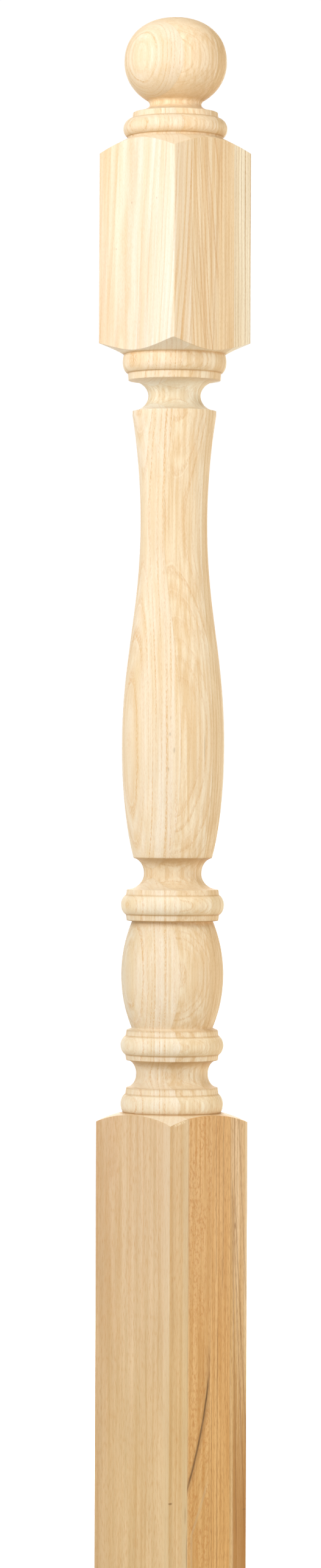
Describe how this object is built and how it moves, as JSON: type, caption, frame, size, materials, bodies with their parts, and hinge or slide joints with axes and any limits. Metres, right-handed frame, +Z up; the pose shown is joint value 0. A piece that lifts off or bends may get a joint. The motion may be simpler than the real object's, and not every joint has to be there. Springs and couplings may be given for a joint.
{
  "type": "newel post",
  "caption": "Turned hardwood newel post with a ball top, a square block for the handrail, a beaded vase and barrel, and a long square foot with a flat underside.",
  "frame": {"origin": "centre of the flat underside, on the post's axis", "axes": "+Z up along the post's axis; X and Y square to the faces of the square blocks"},
  "size_m": [0.0826, 0.0826, 1.2192],
  "materials": {
    "bare_hardwood": "sanded, no finish"
  },
  "bodies": {
    "root": {"newel_post": "bare_hardwood"}
  },
  "joints": []
}
